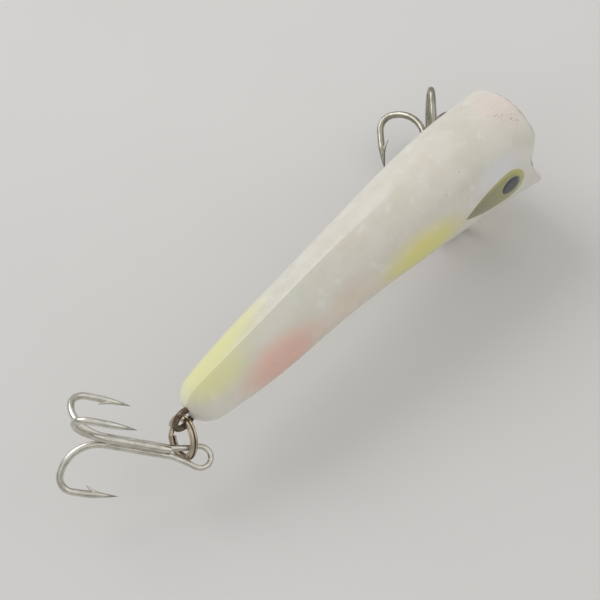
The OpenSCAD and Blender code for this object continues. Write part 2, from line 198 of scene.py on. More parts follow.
def relax(path, times, closed=False):
    """Rounds a path's corners."""
    for _ in range(times):
        n = len(path)
        path = [path[i] if not closed and i in (0, n - 1)
                else (path[i - 1] + 2 * path[i] + path[(i + 1) % n]) / 4 for i in range(n)]
    return path


# ---- Body skin ----

def curve(keys, t):
    """Smooth curve through the keys, the same as the part's."""
    def slope(i):
        a, b = max(i - 1, 0), min(i + 1, len(keys) - 1)
        return (keys[b][1] - keys[a][1]) / (keys[b][0] - keys[a][0])
    i = 0
    while i < len(keys) - 2 and t >= keys[i + 1][0]:
        i += 1
    d = keys[i + 1][0] - keys[i][0]
    u = (t - keys[i][0]) / d
    return (keys[i][1] * (1 + 2 * u) * (1 - u) ** 2 + slope(i) * d * u * (1 - u) ** 2
            + keys[i + 1][1] * u * u * (3 - 2 * u) - slope(i + 1) * d * u * u * (1 - u))


def section(s, a, inset):
    """Half section at fraction s: (y, z) at angle a from the back to the belly."""
    w, zm = curve(WIDTH, s) - inset, curve(FLANK, s)
    up, down = curve(BACK, s) - inset - zm, zm - curve(BELLY_LINE, s) - inset
    sa, ca = max(math.sin(math.radians(a)), 0), math.cos(math.radians(a))
    if a <= 90:
        e = curve(UPPER, s)
        ca = max(ca, 0)
        return w * sa ** e, zm + up * (ca ** e - curve(RIDGE, s) * sa * ca)
    e = curve(LOWER, s)
    return w * sa ** e, zm - down * max(-ca, 0) ** e


def notch(a):
    """How far the mouth's edge falls back: a bow, and a notch at the corner."""
    bow = MOUTH_BOW * math.sin(math.radians(a)) ** 2
    if abs(a - NOTCH_MID) >= NOTCH_HALF:
        return bow
    return bow + MOUTH_NOTCH * math.cos(math.radians((a - NOTCH_MID) * 90 / NOTCH_HALF)) ** 2


def skin(s, a, rho, x, inset=0.0):
    """Point of the skin at station x, angle a and share rho of the section's size."""
    y, z = section(s, a, inset)
    zc = curve(FLANK, s)
    front = (max(s - NOTCH_FROM, 0) / (1 - NOTCH_FROM)) ** 2
    return Vector((x - notch(a) * front * min(rho * 1.15, 1), y * rho, zc + (z - zc) * rho))


def cap(x):
    """Share of the section's size at x mm into the rounded tail end."""
    if x >= TAIL_CAP:
        return 1
    return (1 - (1 - x / TAIL_CAP) ** CAP_POWER) ** (1 / CAP_POWER)


# Angles round half a section, crowded toward the back, the flank and the belly.
QUADRANT = 26
ANGLES = [90 * (1 - math.cos(math.pi * i / QUADRANT)) / 2 for i in range(QUADRANT + 1)]
ANGLES += [180 - a for a in reversed(ANGLES[:-1])]


def skin_rows():
    """Rows of the outer skin from the tail round the lip and down the cup, with how far along
    each row lies: 0 to 1 on the body, 1 to 1.1 on the lip, up to 2 in the cup."""
    rows = []
    for i in range(1, 25):
        x = TAIL_CAP * (1 - math.cos(math.pi / 2 * i / 24))
        rows.append((x / BODY_LEN, cap(x), x, x / BODY_LEN))
    for i in range(1, 131):
        x = TAIL_CAP + (RIM - TAIL_CAP) * i / 130
        rows.append((x / BODY_LEN, 1, x, x / BODY_LEN))
    for i in range(1, 17):
        a = math.pi * i / 16
        rows.append((1, 1 - LIP_W * (1 - math.cos(a)) / 2 / MOUTH_R,
                     RIM + LIP_OUT * math.sin(a), 1 + 0.1 * i / 16))
    for i in range(1, 30):
        a = math.pi / 2 * i / 30
        rows.append((1, (1 - LIP_W / MOUTH_R) * math.cos(a),
                     RIM - (CUP_DEPTH - LIP_W) * math.sin(a), 1.1 + 0.9 * i / 30))
    return rows


def inner_rows(count):
    """Rows of the shell's inside, one for each outer row."""
    x0, x1 = WALL, BODY_LEN - LIP_BACK
    rows, body = [], count - 30
    for i in range(1, body + 1):
        x = x0 + (x1 - x0) * (i / body) ** 1.15
        rows.append((x / BODY_LEN, cap(x - WALL), x))
    for i in range(1, 31):
        a = math.pi / 2 * i / 31
        rows.append((1 - LIP_BACK / BODY_LEN, 0.97 * math.cos(a),
                     x1 - (CUP_DEPTH + WALL - LIP_BACK) * math.sin(a)))
    return rows


def half_shell(name, side, material, node):
    """One moulded half: skin, lip, cup and inside, closed along the seam."""
    outer = skin_rows()
    inner = inner_rows(len(outer))
    m = len(ANGLES)
    points, along, round_ = [], [], []

    def add(p, u, v):
        points.append(Vector((p[0], p[1] * side, p[2])))
        along.append(u)
        round_.append(v)

    zc0, zc1 = curve(FLANK, 0), curve(FLANK, 1)
    add((0, 0, zc0), 0, 0.5)
    for s, rho, x, u in outer:
        for a in ANGLES:
            add(skin(s, a, rho, x), u, a / 180)
    add((RIM - (CUP_DEPTH - LIP_W), 0, zc1), 2, 0.5)
    half = len(points)
    add((WALL, 0, zc0), 3, 0.5)
    for s, rho, x in inner:
        for a in ANGLES:
            add(skin(s, a, rho, x, WALL), 3, a / 180)
    add((BODY_LEN - CUP_DEPTH - WALL, 0, zc1), 3, 0.5)
    n = len(outer)

    def at(i, j, off):
        return off + (0 if i < 0 else half - 1 if i >= n else 1 + i * m + j)

    faces = []

    def face(ids, flip):
        ids = list(dict.fromkeys(ids))
        faces.append(tuple(reversed(ids)) if flip else tuple(ids))

    for off in (0, half):
        flip = (off > 0) == (side > 0)
        for i in range(-1, n):
            for j in range(m - 1):
                face([at(i, j, off), at(i, j + 1, off), at(i + 1, j + 1, off),
                      at(i + 1, j, off)], flip)
    skin_and_inside = len(faces)
    for j in (0, m - 1):
        for i in range(-1, n):
            face([at(i, j, 0), at(i + 1, j, 0), at(i + 1, j, half), at(i, j, half)],
                 (j > 0) == (side > 0))
    piece = new_object(name, points, faces, material, "lure", node)
    set_attribute(piece, "along", along)
    set_attribute(piece, "round", round_)
    level_seam(piece, points, faces[:skin_and_inside])


def level_seam(piece, points, faces):
    """Normals from these faces alone, level across the seam, so that the halves meet unseen."""
    normals = np.zeros((len(points), 3))
    co = np.array([tuple(p) for p in points])
    for f in faces:
        if len(f) == 3:
            v = np.cross(co[f[1]] - co[f[0]], co[f[2]] - co[f[0]])
        else:
            v = np.cross(co[f[2]] - co[f[0]], co[f[3]] - co[f[1]])
        for k in f:
            normals[k] += v
    for k, p in enumerate(points):
        if abs(p[1]) < 1e-6:
            normals[k][1] = 0
    normals /= np.maximum(np.linalg.norm(normals, axis=1, keepdims=True), 1e-12)
    piece.data.normals_split_custom_set_from_vertices([tuple(v) for v in normals])


# ---- Eyes ----

def cheek_table():
    """The flank's y over a grid of stations and heights, for laying inlays on it."""
    # From behind the eye plate's tip to the lip, and past its top and bottom.
    xs, zs = np.linspace(50, 73, 93), np.linspace(-5.5, 5.5, 67)
    table, where = [], []
    for s in np.linspace(0.64, 1, 60):
        row = [skin(s, a, 1, s * BODY_LEN) for a in np.linspace(12, 168, 90)]
        z = [p[2] for p in row][::-1]
        table.append(np.interp(zs, z, [p[1] for p in row][::-1]))
        where.append(np.interp(zs, z, [p[0] for p in row][::-1]))
    table, where = np.array(table), np.array(where)
    columns = [np.interp(xs, where[:, k], table[:, k]) for k in range(len(zs))]
    return xs, zs, np.array(columns).T


CHEEK_X, CHEEK_Z, CHEEK_Y = cheek_table()


def cheek_point(x, z, side):
    """Skin point and outward normal at station x and height z on a flank."""
    def y_at(px, pz):
        i = (px - CHEEK_X[0]) / (CHEEK_X[1] - CHEEK_X[0])
        j = (pz - CHEEK_Z[0]) / (CHEEK_Z[1] - CHEEK_Z[0])
        a, b = int(i), int(j)
        u, v = i - a, j - b
        return ((CHEEK_Y[a, b] * (1 - u) + CHEEK_Y[a + 1, b] * u) * (1 - v)
                + (CHEEK_Y[a, b + 1] * (1 - u) + CHEEK_Y[a + 1, b + 1] * u) * v)
    h = 0.3
    normal = Vector((-(y_at(x + h, z) - y_at(x - h, z)) / (2 * h), 1,
                     -(y_at(x, z + h) - y_at(x, z - h)) / (2 * h))).normalized()
    return Vector((x, y_at(x, z) * side, z)), Vector((normal[0], normal[1] * side, normal[2]))


def patch(name, outline, height, depth, side, material, node, rings=14):
    """A thin inlay that follows the cheek: outline(k, n) gives its rim as (x, z)."""
    count = 72
    rim = [Vector(outline(k, count)) for k in range(count)]
    centre = sum(rim, Vector((0, 0))) / count
    points, edge = [], []
    for layer in (0, 1):
        p, nrm = cheek_point(centre[0], centre[1], side)
        points.append(p + nrm * (height if layer == 0 else -depth))
        edge.append(0)
        for r in range(1, rings + 1):
            t = math.sin(math.pi / 2 * r / rings)
            for q in rim:
                v = centre.lerp(q, t)
                p, nrm = cheek_point(v[0], v[1], side)
                lift = height * (1 - t ** 8) if layer == 0 else -depth
                points.append(p + nrm * lift)
                edge.append(t)
    half = 1 + rings * count
    faces = []
    for layer in (0, 1):
        off = layer * half
        flip = (layer == 1) == (side > 0)
        for k in range(count):
            j = (k + 1) % count
            f = (off, off + 1 + k, off + 1 + j)
            faces.append(f if flip else f[::-1])
            for r in range(rings - 1):
                a, b = off + 1 + r * count, off + 1 + (r + 1) * count
                f = (a + k, b + k, b + j, a + j)
                faces.append(f if flip else f[::-1])
    last = 1 + (rings - 1) * count
    for k in range(count):
        j = (k + 1) % count
        f = (last + k, last + j, half + last + j, half + last + k)
        faces.append(f[::-1] if side > 0 else f)
    piece = new_object(name, points, faces, material, "lure", node, 60)
    set_attribute(piece, "edge", edge)


def teardrop(k, n):
    """Rim of the eye plate, its point toward the tail."""
    r = EYE_H / 2
    tip = EYE_FRONT - EYE_LEN
    cx = EYE_FRONT - r
    t = k / n * 2
    upper = t < 1
    u = t if upper else 2 - t
    # u runs from the tip (0) to the front (1); the points crowd the round end.
    if u < 0.55:
        v = u / 0.55
        x = tip + (cx - tip) * v
        h = r * (1 - (1 - v) ** (1.9 if upper else 2.0))
    else:
        a = math.pi / 2 * (1 - (u - 0.55) / 0.45)
        x, h = cx + r * math.cos(a), r * math.sin(a)
    return x, PUPIL_Z + (h if upper else -h)


def disc(k, n):
    """Rim of the pupil, a little longer than it is high."""
    a = -2 * math.pi * k / n
    r = PUPIL_D / 2
    return PUPIL_X + r * math.cos(a) * 1.06, PUPIL_Z + r * math.sin(a) * 0.94


# ---- Wire parts ----

def hanger_path(length, eye_r):
    """A wire with an eye round the origin and an anchor eye at +X."""
    gap = WIRE_R * 0.9
    path = []
    a0 = math.asin(gap / eye_r)
    for i in range(49):
        a = a0 + (2 * math.pi - 2 * a0) * i / 48
        path.append((eye_r * math.cos(a), 0, eye_r * math.sin(a)))
    b0 = math.asin(gap / ANCHOR_R)
    for i in range(37):
        a = math.pi + b0 + (2 * math.pi - 2 * b0) * i / 36
        path.append((length + ANCHOR_R * math.cos(a), 0, ANCHOR_R * math.sin(a)))
    path.append(path[0])
    path = resample(path, 0.2)[:-1]
    return relax(path, 2, True)


def hanger(name, matrix, length, node, eye_r=EYE_R, wire_r=WIRE_R, rust=0.15):
    """A figure-of-eight wire, rustier toward its buried end."""
    points, faces = sweep(hanger_path(length, eye_r), wire_r, 16, True)
    piece = new_object(name, [matrix @ p for p in points], faces, wire_metal, "lure", node)
    set_attribute(piece, "stain",
                  [min(max((p[0] - 1.2) / 1.5, 0), 1) * 0.8 + rust for p in points])


def ring_centre(chain):
    """Centre of a chain's split ring, in stations."""
    return Vector(chain[0]) + Vector(chain[1]).normalized() * (RING_R - RING_SLACK)


def hook_eye(chain):
    """Centre of the eye of a chain's treble, in stations."""
    return (ring_centre(chain) + Vector(chain[2]).normalized() * RING_R
            - Vector(chain[3]).normalized() * chain[5])


def split_ring(name, chain, body, node):
    """Two turns of wire with square-cut ends and one crossing, rusty along one side."""
    one, two = Vector(chain[1]), Vector(chain[2])
    normal = one.cross(two)
    matrix = axes(ring_centre(chain), normal, one.cross(normal))
    path = []
    for i in range(345):
        a = 16 + 2 * i
        ramp = min(max((a - 340) / 40, 0), 1)
        z = RING_PITCH * (ramp * ramp * (3 - 2 * ramp) - 0.5)
        path.append((RING_R * math.cos(math.radians(a)), RING_R * math.sin(math.radians(a)), z))
    points, faces = sweep(path, RING_WIRE / 2, 20)
    # The wire is flattened: wider across the ring than it is thick.
    flatter = RING_FLAT / RING_WIRE - 0.04
    stain = []
    for p in points:
        r = math.hypot(p[0], p[1])
        wider = (RING_R + (r - RING_R) * flatter) / r
        p[0], p[1] = p[0] * wider, p[1] * wider
        seam = 1 - min(abs(p[2]) / (RING_WIRE * 0.3), 1)
        rusty = 0.75 * (0.5 + 0.5 * math.cos(math.atan2(p[1], p[0]) - math.pi / 2))
        stain.append(min(seam + rusty ** 2, 1))
    piece = new_object(name, [matrix @ p for p in points], faces, ring_metal, body, node,
                       60)
    set_attribute(piece, "stain", stain)


def arm_parts(angle, z0):
    """Centre line of one hook arm from its point to z0 on the shank, its radii, and the
    centre line and radii of the barb raised from its inner side."""
    d = Vector((math.cos(math.radians(angle)), math.sin(math.radians(angle)), 0))
    top = SHANK + BEND_R - TURN_R
    flat = [(BEND_R + TURN_R - POINT_LEAN * (1 - i / 30) ** 1.6, top - LEG + LEG * i / 30)
            for i in range(30)]
    flat += [(BEND_R + TURN_R * math.cos(a), top + TURN_R * math.sin(a))
             for a in np.radians(np.linspace(0, 90, 14))]
    flat += [(BEND_R + BEND_R * math.cos(a), SHANK + BEND_R * math.sin(a))
             for a in np.radians(np.linspace(90, 180, 34))[1:]]
    flat += [(0, SHANK + (z0 - SHANK) * i / 24) for i in range(1, 25)]
    path, radii, travelled, last = [], [], 0.0, None
    for r, z in flat:
        if last is not None:
            travelled += math.hypot(r - last[0], z - last[1])
        last = (r, z)
        path.append(d * (BUNDLE_R + r) + Vector((0, 0, z)))
        taper = min(travelled / POINT_TAPER, 1)
        radii.append(max(HOOK_R * (1 - (1 - taper) ** 1.35) ** 0.9, POINT_R))
    x, z = BUNDLE_R + BEND_R + TURN_R, top - LEG
    spike = resample([d * (x + dx) + Vector((0, 0, z + dz)) for dx, dz in BARB], 0.2)
    n = len(spike)
    spike_radii = [BARB_TIP_R + BARB_ROOT_R * (1 - i / (n - 1)) ** 0.8 * min(1, 0.45 + 3 * i / n)
                   for i in range(n)]
    return path, radii, (spike, spike_radii)


def placed_treble(chain):
    """Matrix that puts a treble, standing on its eye with its shank along Z, on its ring."""
    shank = Vector(chain[3]).normalized()
    single = Vector(chain[4])
    single = (single - single.dot(shank) * shank).normalized()
    origin = hook_eye(chain) - shank * (HOOK_EYE_R + HOOK_R) + single * BUNDLE_R / 2
    return axes(origin, shank, single)


def stain_of(points):
    """Tarnish: heavy near the points of the hooks and where the arms part from the shank."""
    out = []
    for p in points:
        r = math.hypot(p[0], p[1])
        tip = max(0, 1 - (p[2] - (SHANK + BEND_R - TURN_R - LEG)) / 4.5) if r > 6 else 0
        part = math.exp(-((p[2] - SHANK + 0.4) / 1.2) ** 2) if r < 2.6 else 0
        neck = math.exp(-((p[2] - NECK_Z + 0.2) / 1.1) ** 2) if r < 1.2 else 0
        out.append(min(0.8 * tip + 0.35 * part + 0.4 * neck, 1))
    return out


def double_hook(name, matrix, plating):
    """One wire from point to point through the eye, with both its barbs."""
    one, one_r, spike_one = arm_parts(120, NECK_Z + 0.4)
    two, two_r, spike_two = arm_parts(240, NECK_Z + 0.4)
    centre_z = HOOK_EYE_R + HOOK_R
    start = math.radians(LOOP_OPEN)
    loop = []
    for i in range(41):
        a = start + (2 * math.pi - 2 * start) * i / 40
        loop.append(Vector((-BUNDLE_R / 2, LOOP_R * math.sin(a), centre_z + LOOP_R * math.cos(a))))
    path = one + loop + two[::-1]
    path_r = one_r + [LOOP_WIRE_R] * len(loop) + two_r[::-1]
    # The neck: the arms run smoothly into the loop and thin down to its wire.
    first, last = len(one) - 6, len(one) + len(loop) + 6
    neck = relax(resample(path[first:last], 0.3), 5)
    n = len(neck)
    neck_r = []
    for i in range(n):
        edge = min(i, n - 1 - i) / (n / 2) * 2.4
        neck_r.append(HOOK_R + (LOOP_WIRE_R - HOOK_R) * min(edge, 1))
    whole = path[:first] + neck + path[last:]
    whole_r = path_r[:first] + neck_r + path_r[last:]
    points, faces = merge(sweep(whole, whole_r, 20), sweep(*spike_one, 10), sweep(*spike_two, 10))
    piece = new_object(name + "_double_hook", [matrix @ p for p in points], faces, plating, name,
                       name + "_double_hook", 50)
    set_attribute(piece, "stain", stain_of(points))


def single_hook(name, matrix, plating):
    """The third arm, with a pinched end at the neck."""
    path, radii, spike = arm_parts(0, NECK_Z + 0.6)
    for i in range(1, 5):
        radii[-i] = HOOK_R * (0.8 + 0.05 * i)
    points, faces = merge(sweep(path, radii, 20), sweep(*spike, 10))
    piece = new_object(name + "_single_hook", [matrix @ p for p in points], faces, plating, name,
                       name + "_single_hook", 50)
    set_attribute(piece, "stain", stain_of(points))


def braze(name, matrix):
    """Solder that fills the grooves between the shanks, with a fillet where the arms part."""
    rows, around = 40, 36
    points, faces = [], []
    z0, z1 = NECK_Z + 0.9, SHANK + 0.5
    for i in range(rows + 1):
        t = i / rows
        z = z0 + (z1 - z0) * t
        fillet = math.exp(-((z - SHANK + 0.3) / 0.9) ** 2)
        for k in range(around):
            a = 2 * math.pi * k / around
            groove = abs(((math.degrees(a) + 60) % 120) - 60) / 60
            wave = 0.05 * math.sin(z * 1.7 + k * 0.9) * groove
            r = 0.56 + 0.32 * groove + 0.2 * fillet * groove + wave
            # Both ends round off.
            if t < 1 / 6:
                r *= min(1, math.sin(math.pi * min(t * 6, 1) / 2) ** 0.5 + 0.001)
            if t > 0.93:
                r *= (1 - max(0, (t - 0.93) / 0.07) ** 2) ** 0.5
            points.append(Vector((max(r, 0.02) * math.cos(a), max(r, 0.02) * math.sin(a), z)))
    for i in range(rows):
        for k in range(around):
            m = (k + 1) % around
            faces.append((i * around + k, i * around + m,
                          (i + 1) * around + m, (i + 1) * around + k))
    faces.append(tuple(reversed(range(around))))
    faces.append(tuple(range(rows * around, (rows + 1) * around)))
    new_object(name + "_braze", [matrix @ p for p in points], faces, braze_metal, name,
               name + "_braze", 60)


def treble(name, chain, plating):
    """A treble hook, its three pieces riding on the body of the same name."""
    matrix = placed_treble(chain)
    double_hook(name, matrix, plating)
    single_hook(name, matrix, plating)
    braze(name, matrix)


# ---- Materials ----

class Nodes:
    """Small builder for a material's node tree."""

    def __init__(self, name):
        self.material = bpy.data.materials.new(name)
        self.material.use_nodes = True
        self.tree = self.material.node_tree
        self.shader = self.tree.nodes["Principled BSDF"]

    def add(self, kind, inputs=(), **settings):
        node = self.tree.nodes.new(kind)
        for key, value in settings.items():
            setattr(node, key, value)
        for key, value in dict(inputs).items():
            self.feed(node.inputs[key], value)
        return node

    def feed(self, socket, value):
        if isinstance(value, bpy.types.NodeSocket):
            self.tree.links.new(value, socket)
        elif isinstance(value, bpy.types.Node):
            self.tree.links.new(value.outputs[0], socket)
        else:
            socket.default_value = value

    def set(self, **inputs):
        for key, value in inputs.items():
            self.feed(self.shader.inputs[key.replace("_", " ")], value)

    def math(self, operation, *values):
        node = self.tree.nodes.new("ShaderNodeMath")
        node.operation = operation
        for socket, value in zip(node.inputs, values):
            self.feed(socket, value)
        return node.outputs[0]

    def mix(self, factor, a, b):
        node = self.tree.nodes.new("ShaderNodeMix")
        node.data_type = "RGBA"
        self.feed(node.inputs["Factor"], factor)
        for index, value in ((6, a), (7, b)):
            if isinstance(value, tuple) and len(value) == 3:
                value = value + (1.0,)
            self.feed(node.inputs[index], value)
        return node.outputs[2]

    def ramp(self, value, low, high, to_low=0.0, to_high=1.0):
        node = self.add("ShaderNodeMapRange", interpolation_type="SMOOTHSTEP", clamp=True)
        for key, v in (("Value", value), ("From Min", low), ("From Max", high),
                       ("To Min", to_low), ("To Max", to_high)):
            self.feed(node.inputs[key], v)
        return node.outputs["Result"]

    def noise(self, vector, scale, detail=4.0, roughness=0.55):
        return self.add("ShaderNodeTexNoise", {"Vector": vector, "Scale": scale, "Detail": detail,
                                               "Roughness": roughness}).outputs["Fac"]

    def stretched(self, vector, scale, rotation=(0, 0, 0)):
        """Coordinates scaled unevenly, for grain that runs one way."""
        return self.add("ShaderNodeMapping", {"Vector": vector, "Rotation": rotation,
                                              "Scale": scale})

    def millimetres(self, offset=(0, 0, 0)):
        """Object coordinates in mm, moved by offset."""
        where = self.add("ShaderNodeTexCoord").outputs["Object"]
        return self.add("ShaderNodeMapping", {"Vector": where, "Location": offset,
                                              "Scale": (1000, 1000, 1000)}).outputs[0]

    def attribute(self, name):
        return self.add("ShaderNodeAttribute", attribute_name=name).outputs["Fac"]

    def bump(self, height, strength, distance, normal=None):
        inputs = {"Height": height, "Strength": strength, "Distance": distance}
        if normal is not None:
            inputs["Normal"] = normal
        return self.add("ShaderNodeBump", inputs).outputs[0]


def linear(r, g, b):
    """Linear colour from 0-255 display values."""
    return tuple(((c / 255 + 0.055) / 1.055) ** 2.4 for c in (r, g, b))


# Sprayed patches: centre in stations, radii, strength and display colour. These lie on both
# sides alike, so their centres' Y counts either way.
BOTH_SIDES = (
    ((17.5, 5.2, -4.2), (10.0, 4.2, 3.2), 0.8, (226, 168, 158)),
    ((56.0, 3.0, -8.0), (10.0, 6.0, 3.2), 0.6, (230, 196, 190)),
    ((67.0, 3.0, -9.5), (8.0, 7.5, 3.4), 0.8, (222, 216, 140)),
    ((66.0, 7.6, 4.0), (8.5, 3.4, 3.2), 0.6, (226, 226, 232)),
    ((73.5, 0, 8.5), (6.0, 7.5, 5.0), 0.6, (232, 214, 206)))
# These differ from side to side.
ONE_SIDE = (
    ((9.0, 4.0, 1.5), (17.5, 7.5, 6.5), 0.9, (228, 228, 158)),
    ((6.0, -1.5, 2.0), (10.0, 4.0, 3.5), 0.75, (222, 220, 158)),
    ((17.0, -5.2, 0.0), (12.5, 4.3, 5.4), 0.85, (228, 182, 166)),
    ((32.5, -6.2, 0.5), (10.5, 4.0, 5.0), 0.5, (226, 204, 184)),
    ((47.5, -7.8, 0.0), (12.5, 4.9, 5.8), 0.95, (229, 222, 134)),
    ((48.5, 7.6, -1.5), (10.5, 4.0, 4.4), 0.7, (220, 214, 146)),
    ((35.0, 6.5, 1.5), (8.0, 3.0, 4.0), 0.3, (232, 208, 200)))


def pearl_paint():
    """Mottled pearl with sprayed patches, worn at the brow, the nose and the lip, with a painted
    sheen that pales it toward grazing angles.
    """
    n = Nodes("pearl_paint")
    where = n.millimetres(tuple(TIE))
    folded = n.add("ShaderNodeSeparateXYZ", {"Vector": where})
    both = n.add("ShaderNodeCombineXYZ", {
        "X": folded.outputs[0], "Y": n.math("ABSOLUTE", folded.outputs[1]),
        "Z": folded.outputs[2]}).outputs[0]
    drift = n.noise(where, 0.12, 3.0)

    def spot(centre, radii, strength, coords=both):
        """Sprayed patch: strongest at its centre, gone at its radii."""
        shifted = n.add("ShaderNodeVectorMath", {0: coords, 1: tuple(centre)}, operation="SUBTRACT")
        scaled = n.add("ShaderNodeVectorMath", {0: shifted, 1: tuple(radii)}, operation="DIVIDE")
        length = n.add("ShaderNodeVectorMath", {0: scaled}, operation="LENGTH").outputs["Value"]
        wander = n.math("MULTIPLY", n.math("SUBTRACT", drift, 0.5), 0.35)
        return n.ramp(n.math("ADD", length, wander), 1.0, 0.25, 0.0, strength)

    # Painted sheen: the base colour turns whiter toward grazing angles and is greener beige
    # face-on.
    facing = n.add("ShaderNodeLayerWeight", {"Blend": 0.35}).outputs["Facing"]
    color = n.mix(facing, linear(220, 216, 203), linear(230, 227, 219))
    for scale, detail, roughness, low, high, strength, tint in (
            (0.22, 6.0, 0.6, 0.42, 0.66, 0.6, (214, 208, 192)),
            (0.35, 5.0, 0.55, 0.55, 0.7, 0.45, (236, 233, 228)),
            (0.13, 3.0, 0.55, 0.5, 0.68, 0.4, (206, 208, 186))):
        mottle = n.ramp(n.noise(where, scale, detail, roughness), low, high, 0.0, strength)
        color = n.mix(mottle, color, linear(*tint))
    for coords, patches in ((both, BOTH_SIDES), (where, ONE_SIDE)):
        for centre, radii, strength, tint in patches:
            color = n.mix(spot(centre, radii, strength, coords), color, linear(*tint))

    # Wear: specks along the brow, scuffs on the nose and a rubbed line on the lip.
    cells = n.add("ShaderNodeTexVoronoi", {"Vector": where, "Scale": 1.35}, feature="F1")
    dots = n.ramp(cells.outputs["Distance"], 0.16, 0.07)
    some = n.ramp(n.noise(where, 0.5, 2.0), 0.5, 0.58)
    brow = n.math("ADD", spot((63, 6.0, 6.5), (13, 5.0, 5.0), 1.0), n.math("MULTIPLY", some, 0.3))
    specks = n.math("MULTIPLY", n.math("MULTIPLY", dots, some), n.math("MINIMUM", brow, 1.0))
    scrape = n.stretched(where, (0.9, 2.2, 1.0), (0, 0, 0.6))
    nose = n.math("MAXIMUM", spot((72.0, -1.4, 8.2), (2.4, 2.4, 3.0), 0.8, where),
                  spot((73.6, -3.9, 7.4), (1.5, 1.5, 2.0), 1.0, where))
    scuffs = n.math("MULTIPLY", n.ramp(n.noise(scrape, 1.2, 6.0, 0.7), 0.54, 0.64), nose)
    along, round_ = n.attribute("along"), n.attribute("round")
    on_lip = n.math("MULTIPLY", n.ramp(along, 1.012, 1.03), n.ramp(along, 1.07, 1.045))
    on_lip = n.math("MULTIPLY", on_lip, n.ramp(round_, 0.47, 0.4))
    worn = n.math("MULTIPLY", on_lip, n.ramp(n.noise(where, 0.9, 5.0), 0.35, 0.55, 0.15, 0.8))
    dirt = n.math("MAXIMUM", n.math("MULTIPLY", specks, 0.75), n.math("MULTIPLY", scuffs, 0.7))
    color = n.mix(dirt, color, linear(120, 112, 108))
    color = n.mix(worn, color, linear(118, 96, 84))
    hairlines = n.stretched(where, (0.12, 3.0, 3.0), (0.3, 0.2, 0.35))
    scratches = n.ramp(n.noise(hairlines, 1.6, 8.0, 0.75), 0.62, 0.68)
    color = n.mix(n.math("MULTIPLY", scratches, 0.12), color, linear(176, 170, 160))
    normal = n.bump(n.noise(where, 1.1, 3.0), 0.05, 0.0003)
    marks = n.math("ADD", dirt, n.math("MULTIPLY", scratches, 0.4))
    normal = n.bump(marks, 0.12, -0.0001, normal)
    rough = n.ramp(n.noise(where, 0.6, 5.0), 0.3, 0.75, 0.32, 0.46)
    n.set(Base_Color=color, Roughness=n.math("ADD", rough, n.math("MULTIPLY", dirt, 0.3)),
          Normal=normal, IOR=1.46, Coat_Weight=0.5, Coat_Roughness=0.18, Coat_IOR=1.5,
          Subsurface_Weight=0.06, Subsurface_Scale=0.001)
    return n.material


def eye_foil():
    """Brushed olive foil, brighter at its front edge, under a clear coat."""
    n = Nodes("eye_foil")
    where = n.millimetres(tuple(TIE))
    x = n.add("ShaderNodeSeparateXYZ", {"Vector": where})
    edge = n.attribute("edge")
    toward_front = n.ramp(x.outputs[0], 58.0, 68.0)
    color = n.mix(toward_front, linear(146, 140, 112), linear(168, 166, 112))
    grain = n.noise(n.stretched(where, (0.6, 2.0, 2.0)), 2.2, 6.0)
    color = n.mix(n.ramp(grain, 0.35, 0.7, 0.0, 0.3), color, linear(120, 118, 84))
    border = n.math("MULTIPLY", n.ramp(edge, 0.72, 0.93),
                    n.ramp(x.outputs[0], 60.0, 68.0, 0.15, 0.9))
    color = n.mix(border, color, linear(190, 190, 118))
    n.set(Base_Color=color, Metallic=0.25, Roughness=n.ramp(grain, 0.3, 0.7, 0.28, 0.42),
          Coat_Weight=0.8, Coat_Roughness=0.08, Normal=n.bump(grain, 0.08, 0.0001))
    return n.material


def pupil_gloss():
    """Clouded black lens with a paler edge."""
    n = Nodes("pupil_gloss")
    where = n.millimetres(tuple(TIE))
    edge = n.attribute("edge")
    cloud = n.noise(where, 0.8, 4.0)
    color = n.mix(n.ramp(edge, 0.55, 0.98), linear(22, 26, 40), linear(44, 48, 58))
    color = n.mix(n.ramp(cloud, 0.4, 0.7, 0.0, 0.35), color, linear(66, 72, 86))
    n.set(Base_Color=color, Roughness=n.ramp(cloud, 0.3, 0.7, 0.18, 0.3), Coat_Weight=1.0,
          Coat_Roughness=0.06, Normal=n.bump(cloud, 0.05, 0.0001))
    return n.material


def metal(name, bright, dull, stain_colour, roughness, stain_amount, scale=1.0):
    """Plated wire: drawing lines, cloudy tarnish, and stains where the piece marks them."""
    n = Nodes(name)
    where = n.millimetres()
    cloud = n.noise(where, 0.45 * scale, 6.0, 0.6)
    fine = n.noise(where, 7.0 * scale, 4.0, 0.6)
    color = n.mix(n.ramp(cloud, 0.35, 0.72), linear(*bright), linear(*dull))
    mark = n.attribute("stain")
    ragged = n.math("SUBTRACT", n.noise(where, 1.6, 6.0, 0.7), 0.5)
    edge = n.math("ADD", mark, n.math("MULTIPLY", ragged, 0.9))
    stained = n.math("MULTIPLY", n.ramp(edge, 0.3, 0.75), stain_amount)
    color = n.mix(stained, color, linear(*stain_colour))
    pits = n.ramp(n.noise(where, 3.2, 7.0, 0.75), 0.62, 0.72)
    color = n.mix(n.math("MULTIPLY", pits, 0.35), color, linear(*stain_colour))
    rough = n.ramp(fine, 0.3, 0.7, roughness - 0.05, roughness + 0.08)
    rough = n.math("ADD", rough, n.math("MULTIPLY", stained, 0.3))
    height = n.math("ADD", fine, n.math("MULTIPLY", stained, 1.5))
    n.set(Base_Color=color, Metallic=n.math("SUBTRACT", 1.0, n.math("MULTIPLY", stained, 0.5)),
          Roughness=rough, Normal=n.bump(height, 0.12, 0.00006))
    return n.material


